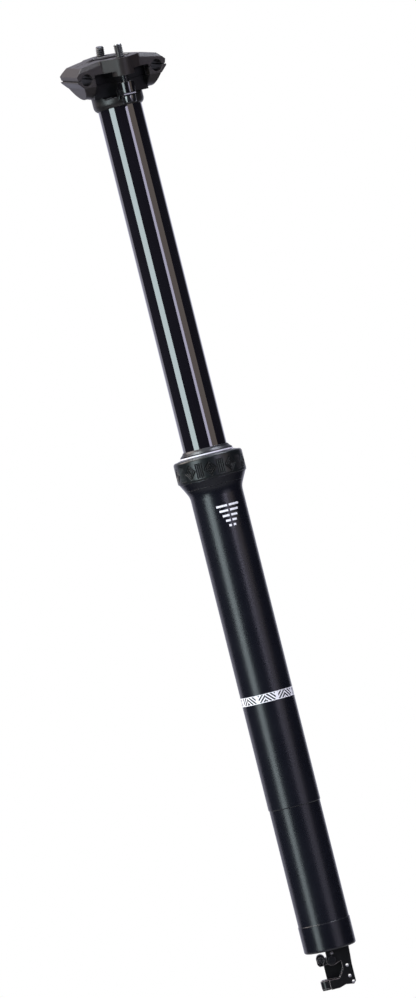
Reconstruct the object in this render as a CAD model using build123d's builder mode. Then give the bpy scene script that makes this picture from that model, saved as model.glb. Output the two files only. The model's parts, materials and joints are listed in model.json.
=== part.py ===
import os
from math import acos, atan2, cos, degrees, hypot, radians, sin, tan

from build123d import *

# A dropper seatpost at full height. The origin lies on the post's axis where the straight tube starts,
# +Z runs up the post to the saddle, -Y faces the front of the bicycle and the saddle's rails run along Y.

# Play between pieces, and how far a cut runs past what it cuts
running_fit = 0.08
seat_play = 0.02
swing_play = 0.3
overrun = 1.0

# Outer tube
outer_diameter = 31.6
outer_wall = 1.6
outer_length = 259.5
relief_start = 188.5
relief_depth = 0.4
flare_blend = 9.5
flare_angle = 27.5
seam_height = 6.0
spigot_wall = 1.9
spigot_length = 11.0
key_count = 3
key_width = 3.0
key_length = 12.0
key_drop = 22.0
keyway_depth = 0.6
keyway_margin = 3.0

# Seal collar with its rubber grip sleeve, bright ring, foam ring and wiper
sleeve_bottom = 10.5
sleeve_height = 13.6
sleeve_overhang = 5.0
sleeve_thickness = 2.4
sleeve_edge = 0.7
sleeve_barrel_height = 11.7
sleeve_shoulder_height = 12.8
collar_lip_reach = 3.7
collar_lip_height = 0.5
ring_reach = 3.0
ring_thickness = 0.8
ring_gap = 0.15
wiper_pocket_reach = 2.2
wiper_neck_reach = 1.8
wiper_foot_reach = 2.6
wiper_foot_height = 0.7
wiper_shoulder_reach = 1.2
wiper_lip_wall = 0.3
wiper_height = 3.2
wiper_depth = 3.5
seal_section = 1.2
bushing_length = 14.0
bushing_wall = 1.1

# Stanchion
stanchion_gap = 1.0
stanchion_wall = 1.9
stanchion_top = 236.0
stanchion_bottom = -46.0
lower_bushing_length = 14.0
lower_bushing_drop = 3.0
lower_bushing_recess = 0.6

# Cartridge: a rod that stands on the end cap and a cylinder that rides in the stanchion
rod_diameter = 10.0
rod_nut_width = 15.0
rod_nut_height = 5.0
pin_diameter = 2.2
cylinder_gap = 0.5
cylinder_wall = 1.3
cylinder_drop = 24.0
gland_height = 9.0
gland_flange = 3.0
piston_height = 10.0
piston_ring_height = 2.6
piston_ring_depth = 1.0
piston_gap = 2.0
port_diameter = 1.8
port_count = 6
port_circle_share = 0.74
poppet_diameter = 5.2
poppet_height = 2.4
plug_height = 9.0
clip_width = 1.2
clip_depth = 0.7
floating_piston_height = 12.0
floating_piston_rise = 148.6
bumper_height = 4.5
bumper_gap = 1.5

# End cap
cap_inset = 0.1
cap_height = 16.7
cap_spigot_length = 6.0
cap_bottom_fillet = 1.4
cap_top_chamfer = 0.35
cap_recess_depth = 2.6
cap_floor = 2.5
chamber_radius = 4.6
chamber_height = 5.1
lock_ring_width = 2.0
lock_ring_inset = 0.2

# Head crown
crown_overhang = 2.1
crown_rim_height = 5.0
crown_flare_height = 3.5
crown_spigot_length = 20.0
saddle_axis_drop = 3.0
saddle_radius = 13.5
saddle_play = 0.15
lug_half_width = 4.8
lug_half_length = 5.6
lug_height = 7.4
lug_foot = 1.0
front_lug_overhang = 6.0
front_lug_rise = 5.0
front_rib_root = 2.0
front_rib_tip = 0.7
rear_lug_overhang = 4.9
rear_lug_rise = 8.6
rear_rib_root = 4.8
rear_rib_tip = -0.3
rib_half_width = 4.2
rib_drop = 2.6

# Clamp. Its own frame has X across the post, Y along the rails to the rear and Z square to the rails.
clamp_pitch = 10.0
tilt_back = 7.0
tilt_forward = 5.0
rail_diameter = 7.0
rail_play = 0.05
rail_spacing = 44.0
rail_height = 24.4
jaw_half_length = 16.0
jaw_gap = 0.6
upper_half_width = 27.4
upper_bulge = 0.6
upper_bulge_height = 2.8
upper_bevel_height = 7.2
upper_bevel_width = 23.7
upper_ridge_width = 11.4
upper_top = 9.4
upper_chamfer = 2.2
upper_arm_bottom = 1.8
upper_pad_width = 17.0
boss_radius = 6.6
boss_bottom = -1.0
boss_flank_fillet = 2.0
nut_reach = 18.3
nut_height = 5.6
nut_diameter = 8.0
nut_length = 8.0
nut_swing = 0.35
nut_hole_play = 0.8
opening_half_width = 15.0
opening_half_length = 11.2
opening_corner = 7.0
opening_fillet = 1.2
opening_chamfer = 0.8
valley_half_width = 4.8
cradle_overhang = 0.6
cradle_lip_inset = 0.2
cradle_lip_depth = 1.2
cradle_tray_depth = 4.8
cradle_tray_inset = 3.7
cradle_belly_height = 12.1
cradle_bottom_inset = 6.8
cradle_inner_width = 17.0
cradle_leg_width = 16.0
cradle_belly_half_length = 15.0
cradle_saddle_half_length = 8.0
cradle_saddle_height = 11.4

# Clamp bolts, rocking washers and barrel nuts
bolt_diameter = 5.0
bolt_length = 32.0
bolt_head_diameter = 8.5
bolt_head_height = 5.0
bolt_socket = 4.0
bolt_socket_depth = 2.5
bolt_edge = 0.4
washer_radius = 4.0
washer_length = 7.6

# Actuator under the end cap. Its own frame has X to the right in a view from its front and Y up the post.
actuator_turn = -18.0
flange_radius = 9.4
bracket_half_depth = 4.7
slot_half_depth = 2.7
slot_roof = 1.4
slot_floor = 10.3
slot_end = 6.0
bracket_left = 3.6
bracket_right = 10.9
bracket_foot_right = 10.1
bracket_waist = 11.4
bracket_heel = 21.6
bracket_bottom = 23.5
bracket_toe = 5.2
bracket_heel_cut = 1.5
bracket_notch = 1.2
bracket_notch_place = 3.9
arm_top = 17.8
arm_inner = 1.2
jaw_right = 4.3
jaw_height = 8.0
jaw_corner = 5.0
back_wall_left = 6.4
hub_radius = 3.4
eye_reach = 7.2
eye_radius = 3.4
eye_height = 4.6
stop_radius = 2.6
stop_collar_radius = 3.2
stop_collar_height = 1.0
stop_rise = 0.6
housing_diameter = 4.2
housing_depth = 4.5
cable_diameter = 1.6
sight_hole_diameter = 1.7
sight_hole_drop = 2.4
web_hole_diameter = 1.8
lever_pivot_reach = 0.8
lever_pivot_drop = 6.2
lever_pin_diameter = 3.0
pin_head_radius = 2.4
pin_head_height = 0.8
lever_clip_height = 0.6
lever_half_depth = 2.5
lever_hub_radius = 3.0
lobe_reach = 7.3
lobe_drop = 5.6
lobe_width = 5.2
lobe_height = 7.4
nose_reach = 2.2
nose_drop = 4.4
nose_radius = 1.8
nose_gap = 0.08
barrel_diameter = 3.6
barrel_half_length = 2.5
set_screw_diameter = 2.0
set_screw_length = 1.6
set_screw_socket = 0.9
tappet_height = 2.5
tappet_lift = 1.5
tappet_stem_diameter = 5.2
pin_seat_depth = 1.2

# Radii and levels that the pieces share
outer_radius = outer_diameter / 2
bore_radius = outer_radius - outer_wall
stanchion_radius = bore_radius - stanchion_gap
stanchion_bore_radius = stanchion_radius - stanchion_wall
rod_radius = rod_diameter / 2
pin_radius = pin_diameter / 2
pin_bore_radius = pin_radius + running_fit
cylinder_outer_radius = stanchion_bore_radius - cylinder_gap
cylinder_radius = cylinder_outer_radius - cylinder_wall
cap_radius = outer_radius - cap_inset
bumper_radius = stanchion_bore_radius - bumper_gap
cap_bottom = -outer_length - cap_height
cap_spigot_top = -outer_length + cap_spigot_length
recess_top = cap_bottom + cap_recess_depth
chamber_top = recess_top + chamber_height
rod_seat = chamber_top + cap_floor
bushing_radius = stanchion_radius + running_fit
bushing_seat_radius = bushing_radius + bushing_wall
spigot_radius = bushing_seat_radius + spigot_wall
spigot_top = seam_height + spigot_length
sleeve_top = sleeve_bottom + sleeve_height
sleeve_radius = outer_radius + sleeve_overhang
sleeve_seat_radius = sleeve_radius - sleeve_thickness
collar_top = sleeve_top + collar_lip_height
collar_lip_radius = stanchion_radius + collar_lip_reach
ring_radius = stanchion_radius + ring_reach
ring_bottom = collar_top + ring_gap
ring_top = ring_bottom + ring_thickness
wiper_bottom = collar_top - wiper_depth
wiper_pocket_radius = stanchion_radius + wiper_pocket_reach
wiper_neck_radius = stanchion_radius + wiper_neck_reach
wiper_foot_radius = stanchion_radius + wiper_foot_reach
wiper_shoulder_radius = stanchion_radius + wiper_shoulder_reach
seal_top = spigot_top + seal_section + seat_play
cylinder_top = stanchion_top - cylinder_drop
crown_radius = stanchion_radius + crown_overhang
cradle_half_width = upper_half_width + cradle_overhang
cradle_lip_width = cradle_half_width - cradle_lip_inset
cradle_tray_width = cradle_half_width - cradle_tray_inset
cradle_bottom_width = cradle_half_width - cradle_bottom_inset
cradle_bottom = rail_height - cradle_belly_height
cradle_saddle_bottom = rail_height - cradle_saddle_height
saddle_axis_height = stanchion_top - saddle_axis_drop


# Radius of the outer tube's flare at a height above the straight tube
def flare_radius(height):
    blend_rise = flare_blend * sin(radians(flare_angle))
    blend_growth = flare_blend * (1 - cos(radians(flare_angle)))
    return outer_radius + blend_growth + (height - blend_rise) * tan(radians(flare_angle))


# A plain hollow cylinder between two heights
def sleeve(inner_radius, outside_radius, bottom, top):
    with BuildPart() as tube:
        with BuildSketch(Plane.XY.offset(bottom)):
            Circle(outside_radius)
            Circle(inner_radius, mode=Mode.SUBTRACT)
        extrude(amount=top - bottom)
    return tube.part


# A ring of round section, for the static seals
def seal_ring(mean_radius, height, section):
    with BuildPart() as ring:
        with BuildSketch(Plane.XZ):
            with Locations((mean_radius, height)):
                Circle(section / 2)
        revolve(axis=Axis.Z)
    return ring.part


# Outer tube: relieved below, flared above, with a threaded spigot for the collar and three keyways
with BuildPart() as outer_tube:
    with BuildSketch(Plane.XZ):
        with BuildLine():
            blend = JernArc((outer_radius, 0), (0, 1), flare_blend, -flare_angle)
            Polyline(
                blend @ 1,
                (flare_radius(seam_height), seam_height),
                (spigot_radius, seam_height),
                (spigot_radius, spigot_top),
                (bushing_seat_radius, spigot_top),
                (bushing_seat_radius, spigot_top - bushing_length),
                (bore_radius, spigot_top - bushing_length),
                (bore_radius, -outer_length),
                (outer_radius - relief_depth, -outer_length),
                (outer_radius - relief_depth, -relief_start - relief_depth),
                (outer_radius, -relief_start),
                (outer_radius, 0),
            )
        make_face()
    revolve(axis=Axis.Z)
    keyway_top = stanchion_bottom + key_drop + key_length + keyway_margin
    with BuildSketch(Plane.XY.offset(cap_spigot_top)):
        with PolarLocations(bore_radius, key_count, start_angle=90):
            Rectangle(keyway_depth * 2, key_width + running_fit * 2)
    extrude(amount=keyway_top - cap_spigot_top, mode=Mode.SUBTRACT)
outer_tube.part.label = "outer_tube"

# Seal collar: screws over the spigot, carries on the flare's cone and holds the sleeve on a plain seat
with BuildPart() as seal_collar:
    with BuildSketch(Plane.XZ):
        with BuildLine():
            Polyline(
                (spigot_radius + seat_play, seam_height + seat_play),
                (flare_radius(seam_height), seam_height + seat_play),
                (flare_radius(sleeve_bottom), sleeve_bottom),
                (sleeve_seat_radius, sleeve_bottom),
                (sleeve_seat_radius, sleeve_top),
                (collar_lip_radius, collar_top),
                (wiper_pocket_radius, collar_top),
                (wiper_pocket_radius, seal_top),
                (spigot_radius + seat_play, seal_top),
                close=True,
            )
        make_face()
    revolve(axis=Axis.Z)
seal_collar.part.label = "seal_collar"

# Grip sleeve: a moulded rubber band round the collar, with a sloping shoulder at its top
with BuildPart() as grip_sleeve:
    with BuildSketch(Plane.XZ):
        with BuildLine():
            Polyline(
                (sleeve_seat_radius + seat_play, sleeve_bottom + seat_play),
                (sleeve_radius - sleeve_edge, sleeve_bottom + seat_play),
                (sleeve_radius, sleeve_bottom + sleeve_edge * 2),
                (sleeve_radius, sleeve_bottom + sleeve_barrel_height),
                (sleeve_radius - sleeve_edge, sleeve_bottom + sleeve_shoulder_height),
                (sleeve_seat_radius + seat_play, sleeve_top),
                close=True,
            )
        make_face()
    revolve(axis=Axis.Z)
grip_sleeve.part.label = "grip_sleeve"

# Bright ring between the collar and the wiper's foot
accent_ring = sleeve(wiper_neck_radius + seat_play, ring_radius, ring_bottom, ring_top)
accent_ring.label = "accent_ring"

# Wiper seal: a skirt in the collar, a neck through the bright ring and a lip that wipes the stanchion
with BuildPart() as wiper_seal:
    foot_top = ring_top + wiper_foot_height
    wiper_top = ring_top + wiper_height
    with BuildSketch(Plane.XZ):
        with BuildLine():
            Polyline(
                (bushing_radius, wiper_bottom + seat_play),
                (wiper_pocket_radius - seat_play, wiper_bottom + seat_play),
                (wiper_pocket_radius - seat_play, collar_top),
                (wiper_neck_radius, collar_top),
                (wiper_neck_radius, ring_top + seat_play),
                (wiper_foot_radius, ring_top + seat_play),
                (wiper_foot_radius, foot_top),
                (wiper_shoulder_radius, (foot_top + wiper_top) / 2),
                (bushing_radius + wiper_lip_wall, wiper_top),
                (bushing_radius, wiper_top),
                close=True,
            )
        make_face()
    revolve(axis=Axis.Z)
wiper_seal.part.label = "wiper_seal"

# Foam ring that holds grease under the wiper, the collar's seal and the upper bushing in its seat
foam_ring = sleeve(bushing_radius, wiper_pocket_radius - seat_play, seal_top, wiper_bottom - seat_play)
foam_ring.label = "foam_ring"
collar_seal = seal_ring(spigot_radius - seal_section / 2, spigot_top + seal_section / 2, seal_section)
collar_seal.label = "collar_seal"
upper_bushing = sleeve(
    bushing_radius, bushing_seat_radius - seat_play, spigot_top - bushing_length + seat_play, spigot_top
)
upper_bushing.label = "upper_bushing"

# End cap: a sealed spigot in the tube, a seat for the rod, a chamber for the tappet and a recess below
lock_ring_radius = flange_radius + seat_play + lock_ring_width
cap_spigot_radius = bore_radius - seat_play
cap_groove_radius = cap_spigot_radius - seal_section
cap_groove_top = cap_spigot_top - seal_section
cap_groove_bottom = cap_groove_top - seal_section - seat_play * 2
with BuildPart() as end_cap:
    with BuildSketch(Plane.XZ):
        with BuildLine():
            Polyline(
                (rod_radius + seat_play, cap_spigot_top),
                (cap_spigot_radius, cap_spigot_top),
                (cap_spigot_radius, cap_groove_top),
                (cap_groove_radius, cap_groove_top),
                (cap_groove_radius, cap_groove_bottom),
                (cap_spigot_radius, cap_groove_bottom),
                (cap_spigot_radius, -outer_length - seat_play),
                (cap_radius, -outer_length - seat_play),
                (cap_radius, cap_bottom),
                (lock_ring_radius + seat_play, cap_bottom),
                (lock_ring_radius + seat_play, recess_top),
                (chamber_radius, recess_top),
                (chamber_radius, chamber_top),
                (pin_bore_radius, chamber_top),
                (pin_bore_radius, rod_seat),
                (rod_radius + seat_play, rod_seat),
                close=True,
            )
        make_face()
    revolve(axis=Axis.Z)
    rim_edges = end_cap.edges().filter_by(GeomType.CIRCLE).group_by(SortBy.RADIUS)[-1].sort_by(Axis.Z)
    fillet(rim_edges[0], cap_bottom_fillet)
    rim_edges = end_cap.edges().filter_by(GeomType.CIRCLE).group_by(SortBy.RADIUS)[-1].sort_by(Axis.Z)
    chamfer(rim_edges[-1], cap_top_chamfer)
end_cap.part.label = "end_cap"
cap_seal = seal_ring(
    (cap_groove_radius + bore_radius) / 2, (cap_groove_top + cap_groove_bottom) / 2, seal_section - seat_play
)
cap_seal.label = "cap_seal"

# Rod with its nut on the cap, and the elastomer ring that takes the last of the drop
rod_nut_top = cap_spigot_top + rod_nut_height
gland_bottom = stanchion_bottom + clip_width * 2
gland_top = gland_bottom + gland_flange + gland_height
piston_bottom = gland_top + piston_gap
piston_top = piston_bottom + piston_height
damper_rod = sleeve(pin_bore_radius, rod_radius, rod_seat, piston_bottom + piston_height / 2)
damper_rod.label = "damper_rod"
with BuildPart() as rod_nut:
    with BuildSketch(Plane.XY.offset(cap_spigot_top)):
        RegularPolygon(rod_nut_width / 2, 6, major_radius=False)
        Circle(rod_radius + seat_play, mode=Mode.SUBTRACT)
    extrude(amount=rod_nut_height)
rod_nut.part.label = "rod_nut"
bottom_bumper = sleeve(rod_radius + seat_play, bumper_radius, rod_nut_top, rod_nut_top + bumper_height)
bottom_bumper.label = "bottom_bumper"

# Piston on the rod's end, with a ring groove and through ports, and its ring
piston_radius = cylinder_radius - running_fit * 2
ring_level = piston_bottom + piston_height / 2
with BuildPart() as damper_piston:
    with BuildSketch(Plane.XY.offset(piston_bottom)):
        Circle(piston_radius)
    extrude(amount=piston_height)
    with BuildSketch(Plane.XY.offset(ring_level - piston_ring_height / 2)):
        Circle(piston_radius + overrun)
        Circle(piston_radius - piston_ring_depth, mode=Mode.SUBTRACT)
    extrude(amount=piston_ring_height, mode=Mode.SUBTRACT)
    with BuildSketch(Plane.XY.offset(piston_bottom)):
        Circle(rod_radius + seat_play)
    extrude(amount=piston_height / 2, mode=Mode.SUBTRACT)
    with BuildSketch(Plane.XY.offset(piston_bottom)):
        Circle(pin_bore_radius)
        with PolarLocations(piston_radius * port_circle_share, port_count):
            Circle(port_diameter / 2)
    extrude(amount=piston_height, mode=Mode.SUBTRACT)
damper_piston.part.label = "damper_piston"


# Ring of a piston, in its groove at a level
def piston_band(level):
    return sleeve(
        piston_radius - piston_ring_depth + seat_play,
        cylinder_radius - running_fit,
        level - piston_ring_height / 2 + seat_play,
        level + piston_ring_height / 2 - seat_play,
    )


piston_ring = piston_band(ring_level)
piston_ring.label = "piston_ring"

# Stanchion tube: a recess for the lower bushing, three key slots and a groove for the retaining clip
slot_bottom = stanchion_bottom + key_drop
bushing_recess_radius = stanchion_radius - lower_bushing_recess
lower_bushing_bottom = stanchion_bottom + lower_bushing_drop
with BuildPart() as stanchion_tube:
    with BuildSketch(Plane.XY.offset(stanchion_bottom)):
        Circle(stanchion_radius)
        Circle(stanchion_bore_radius, mode=Mode.SUBTRACT)
    extrude(amount=stanchion_top - stanchion_bottom)
    with BuildSketch(Plane.XY.offset(lower_bushing_bottom)):
        Circle(stanchion_radius + overrun)
        Circle(bushing_recess_radius, mode=Mode.SUBTRACT)
    extrude(amount=lower_bushing_length, mode=Mode.SUBTRACT)
    with BuildSketch(Plane.XY.offset(slot_bottom)):
        with PolarLocations(stanchion_radius, key_count, start_angle=90):
            Rectangle(stanchion_wall, key_width)
    extrude(amount=key_length, mode=Mode.SUBTRACT)
    with BuildSketch(Plane.XY.offset(stanchion_bottom + clip_width)):
        Circle(stanchion_bore_radius + clip_depth)
    extrude(amount=clip_width, mode=Mode.SUBTRACT)
stanchion_tube.part.label = "stanchion_tube"

# Lower bushing: a split ring that fills the recess and runs in the outer tube
with BuildPart() as lower_bushing:
    with BuildSketch(Plane.XY.offset(lower_bushing_bottom + seat_play)):
        Circle(bore_radius - running_fit)
        Circle(bushing_recess_radius + seat_play, mode=Mode.SUBTRACT)
        with Locations((0, -bore_radius)):
            Rectangle(bushing_wall, bore_radius / 2, mode=Mode.SUBTRACT)
    extrude(amount=lower_bushing_length - seat_play * 2)
lower_bushing.part.label = "lower_bushing"

# Three guide keys in the stanchion's slots, which run in the keyways and stop the post turning
key_inner_radius = stanchion_radius - stanchion_wall / 2
key_outer_radius = bore_radius + keyway_depth - running_fit * 2
with BuildPart() as guide_keys:
    with BuildSketch(Plane.XY.offset(slot_bottom + seat_play)):
        with PolarLocations((key_inner_radius + key_outer_radius) / 2, key_count, start_angle=90):
            Rectangle(key_outer_radius - key_inner_radius - seat_play * 2, key_width - seat_play * 2)
    extrude(amount=key_length - seat_play * 2)
guide_keys.part.label = "guide_keys"

# Cartridge cylinder, its gland with the rod seal, its top plug and the clip that holds it in the stanchion
cylinder_bottom = gland_bottom + gland_flange
cylinder_tube = sleeve(cylinder_radius, cylinder_outer_radius, cylinder_bottom + seat_play, cylinder_top)
cylinder_tube.label = "cylinder_tube"
gland_bore_radius = rod_radius + running_fit
gland_pocket_radius = gland_bore_radius + seal_section * 1.5
with BuildPart() as rod_gland:
    with BuildSketch(Plane.XY.offset(gland_bottom)):
        Circle(stanchion_bore_radius - seat_play)
    extrude(amount=gland_flange)
    with BuildSketch(Plane.XY.offset(cylinder_bottom)):
        Circle(cylinder_radius - seat_play)
    extrude(amount=gland_height)
    with BuildSketch(Plane.XY.offset(gland_bottom)):
        Circle(gland_bore_radius)
    extrude(amount=gland_flange + gland_height, mode=Mode.SUBTRACT)
    with BuildSketch(Plane.XY.offset(gland_bottom)):
        Circle(gland_pocket_radius)
    extrude(amount=gland_flange, mode=Mode.SUBTRACT)
rod_gland.part.label = "rod_gland"
rod_seal = sleeve(
    gland_bore_radius, gland_pocket_radius - seat_play, gland_bottom + seat_play, cylinder_bottom - seat_play
)
rod_seal.label = "rod_seal"
with BuildPart() as top_plug:
    with BuildSketch(Plane.XY.offset(cylinder_top - plug_height)):
        Circle(cylinder_radius - seat_play)
    extrude(amount=plug_height + gland_flange)
    with BuildSketch(Plane.XY.offset(cylinder_top + seat_play)):
        Circle(stanchion_bore_radius - seat_play)
    extrude(amount=gland_flange)
top_plug.part.label = "top_plug"
with BuildPart() as retaining_clip:
    with BuildSketch(Plane.XY.offset(stanchion_bottom + clip_width + seat_play)):
        Circle(stanchion_bore_radius + clip_depth - seat_play)
        Circle(stanchion_bore_radius - clip_width, mode=Mode.SUBTRACT)
        with Locations((0, -stanchion_bore_radius)):
            Rectangle(rod_radius, stanchion_bore_radius / 2, mode=Mode.SUBTRACT)
    extrude(amount=clip_width - seat_play * 2)
retaining_clip.part.label = "retaining_clip"

# Floating piston between the oil and the gas, cupped on the gas side, with its ring
floating_piston_rest = piston_top + floating_piston_rise
float_ring_level = floating_piston_rest + floating_piston_height / 3
with BuildPart() as floating_piston:
    with BuildSketch(Plane.XY.offset(floating_piston_rest)):
        Circle(piston_radius)
    extrude(amount=floating_piston_height)
    with BuildSketch(Plane.XY.offset(floating_piston_rest + floating_piston_height * 2 / 3)):
        Circle(piston_radius - cylinder_wall * 2)
    extrude(amount=floating_piston_height, mode=Mode.SUBTRACT)
    with BuildSketch(Plane.XY.offset(float_ring_level - piston_ring_height / 2)):
        Circle(piston_radius + overrun)
        Circle(piston_radius - piston_ring_depth, mode=Mode.SUBTRACT)
    extrude(amount=piston_ring_height, mode=Mode.SUBTRACT)
floating_piston.part.label = "floating_piston"
floating_ring = piston_band(float_ring_level)
floating_ring.label = "floating_ring"


# A place in the clamp as a point (y, z) of the post, at a pitch, along the rails and above their plane
def clamp_point(pitch, along, above):
    turn = radians(pitch)
    return (
        along * cos(turn) - (rail_height + above) * sin(turn),
        saddle_axis_height + along * sin(turn) + (rail_height + above) * cos(turn),
    )


# Lean of a bolt towards the front, in degrees, from its lug to its nut
def bolt_lean(pitch, along, lug):
    nut_y, nut_z = clamp_point(pitch, along, nut_height)
    return degrees(atan2(lug[0] - nut_y, nut_z - lug[1]))


# A plane at a point (y, z) whose normal leans towards the front by an angle in degrees
def leaning_plane(point, lean):
    normal = (0, -sin(radians(lean)), cos(radians(lean)))
    return Plane(origin=(0, point[0], point[1]), x_dir=(1, 0, 0), z_dir=normal)


front_lug = (-crown_radius - front_lug_overhang, stanchion_top + front_lug_rise)
rear_lug = (crown_radius + rear_lug_overhang, stanchion_top + rear_lug_rise)
pitch_low = clamp_pitch - tilt_back
pitch_high = clamp_pitch + tilt_forward
clamp_level = leaning_plane(clamp_point(clamp_pitch, 0, 0), clamp_pitch)
clamp_front = Plane(origin=clamp_level.origin, x_dir=clamp_level.x_dir, z_dir=-clamp_level.y_dir)
clamp_side = Plane(origin=clamp_level.origin, x_dir=clamp_level.y_dir, z_dir=clamp_level.x_dir)

# Head crown: a rounded rim on the stanchion, a round saddle across its top and a lug for each bolt
crown_top = stanchion_top + crown_rim_height
with BuildPart() as head_crown:
    with BuildSketch(Plane.YZ):
        with Locations((0, saddle_axis_height)):
            Circle(saddle_radius)
    extrude(amount=crown_radius, both=True)
    with BuildSketch(Plane.XY.offset(crown_top - overrun)):
        Circle(crown_radius)
    extrude(amount=crown_radius, mode=Mode.INTERSECT)
    with BuildSketch(Plane.XZ):
        with BuildLine():
            rim_bottom = (crown_radius, stanchion_top + crown_flare_height)
            rim_foot = (stanchion_radius, stanchion_top + seat_play)
            TangentArc(rim_bottom, rim_foot, tangent=(0, -1))
            Polyline(
                rim_foot,
                (stanchion_bore_radius - seat_play, stanchion_top + seat_play),
                (stanchion_bore_radius - seat_play, stanchion_top - crown_spigot_length),
                (0, stanchion_top - crown_spigot_length),
                (0, crown_top),
                (crown_radius, crown_top),
                rim_bottom,
            )
        make_face()
    revolve(axis=Axis.Z)
    for side, lug, rib_inner, rib_outer in (
        (-1, front_lug, crown_radius - front_rib_root, crown_radius + front_rib_tip),
        (1, rear_lug, crown_radius - rear_rib_root, crown_radius + rear_rib_tip),
    ):
        lean_low = bolt_lean(pitch_low, side * nut_reach, lug)
        lean_high = bolt_lean(pitch_high, side * nut_reach, lug)
        lug_plane = leaning_plane(lug, (lean_low + lean_high) / 2)
        with BuildSketch(Plane.YZ):
            with BuildLine():
                Polyline(
                    (side * rib_inner, crown_top - rib_drop),
                    (side * rib_outer, crown_top - rib_drop + lug_foot),
                    (side * rib_outer, lug[1] + lug_foot),
                    (lug[0], lug[1] + lug_height / 2),
                    (side * rib_outer, lug[1] + lug_height - lug_foot * 2),
                    (side * rib_inner, lug[1] + lug_height / 2),
                    close=True,
                )
            make_face()
        extrude(amount=rib_half_width, both=True)
        with BuildSketch(lug_plane.offset(lug_foot)):
            SlotOverall(lug_half_length * 2, lug_half_width * 2, rotation=90)
        extrude(amount=lug_height - lug_foot)
        slot_reach = lug_height * tan(radians((lean_high - lean_low) / 2)) + swing_play
        with BuildSketch(lug_plane):
            SlotCenterToCenter(slot_reach * 2, bolt_diameter + swing_play, rotation=90)
        extrude(amount=lug_height + overrun, mode=Mode.SUBTRACT)
        with BuildSketch(Plane.YZ):
            with Locations(lug):
                Circle(washer_radius + running_fit)
        extrude(amount=lug_half_width + overrun, both=True, mode=Mode.SUBTRACT)
head_crown.part.label = "head_crown"

# Lower cradle: two rail trays on rounded bellies, joined by a bridge that rocks on the crown's saddle
jaw_seam = jaw_gap / 2
groove_radius = rail_diameter / 2 + rail_play
with BuildPart() as lower_cradle:
    with BuildSketch(clamp_side):
        with BuildLine():
            Polyline(
                (cradle_belly_half_length, -cradle_tray_depth),
                (jaw_half_length, -cradle_tray_depth),
                (jaw_half_length, -jaw_seam),
                (-jaw_half_length, -jaw_seam),
                (-jaw_half_length, -cradle_tray_depth),
                (-cradle_belly_half_length, -cradle_tray_depth),
            )
            ThreePointArc(
                (-cradle_belly_half_length, -cradle_tray_depth),
                (0, -cradle_bottom),
                (cradle_belly_half_length, -cradle_tray_depth),
            )
        make_face()
    extrude(amount=cradle_half_width, both=True)
    with BuildSketch(clamp_front):
        with BuildLine():
            Polyline(
                (cradle_inner_width, -jaw_seam),
                (cradle_half_width, -jaw_seam),
                (cradle_lip_width, -cradle_lip_depth),
                (cradle_tray_width, -cradle_tray_depth),
                (cradle_bottom_width, -cradle_bottom),
                (cradle_leg_width, -cradle_bottom),
                (cradle_leg_width, -cradle_tray_depth),
                (cradle_inner_width, -cradle_tray_depth),
                close=True,
            )
        make_face()
        mirror(about=Plane.YZ)
    extrude(amount=jaw_half_length, both=True, mode=Mode.INTERSECT)
    with BuildSketch(clamp_level.offset(-cradle_saddle_bottom)):
        Rectangle(cradle_inner_width * 2, cradle_saddle_half_length * 2)
    extrude(amount=cradle_saddle_bottom - cradle_tray_depth)
    with BuildSketch(clamp_side):
        with Locations((0, -rail_height)):
            Circle(saddle_radius + saddle_play)
    extrude(amount=crown_radius + swing_play, both=True, mode=Mode.SUBTRACT)
    with BuildSketch(clamp_front):
        with GridLocations(rail_spacing, 0, 2, 1):
            Circle(groove_radius)
    extrude(amount=jaw_half_length + overrun, both=True, mode=Mode.SUBTRACT)
lower_cradle.part.label = "lower_cradle"

# Half of the section across the upper clamp, from its ridge round the wing to the arm's underside
wing_outline = [
    (0, upper_top),
    (upper_ridge_width, upper_top),
    (upper_bevel_width, upper_bevel_height),
    (upper_half_width + upper_bulge, upper_bulge_height),
    (upper_half_width, jaw_seam),
    (upper_pad_width, jaw_seam),
    (upper_pad_width, upper_arm_bottom),
    (0, upper_arm_bottom),
]

# Wings of the upper clamp, chamfered along the top of their front and rear ends
with BuildPart() as clamp_wings:
    with BuildSketch(clamp_front):
        with BuildLine():
            Polyline(*wing_outline, close=True)
        make_face()
        mirror(about=Plane.YZ)
    extrude(amount=jaw_half_length, both=True)
    end_faces = clamp_wings.faces().sort_by(Axis(clamp_level.origin, clamp_level.y_dir))
    end_edges = end_faces[0].edges() + end_faces[-1].edges()
    chamfer(
        [edge for edge in end_edges if clamp_level.to_local_coords(edge.center()).Z > upper_bevel_height],
        upper_chamfer,
    )

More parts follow.
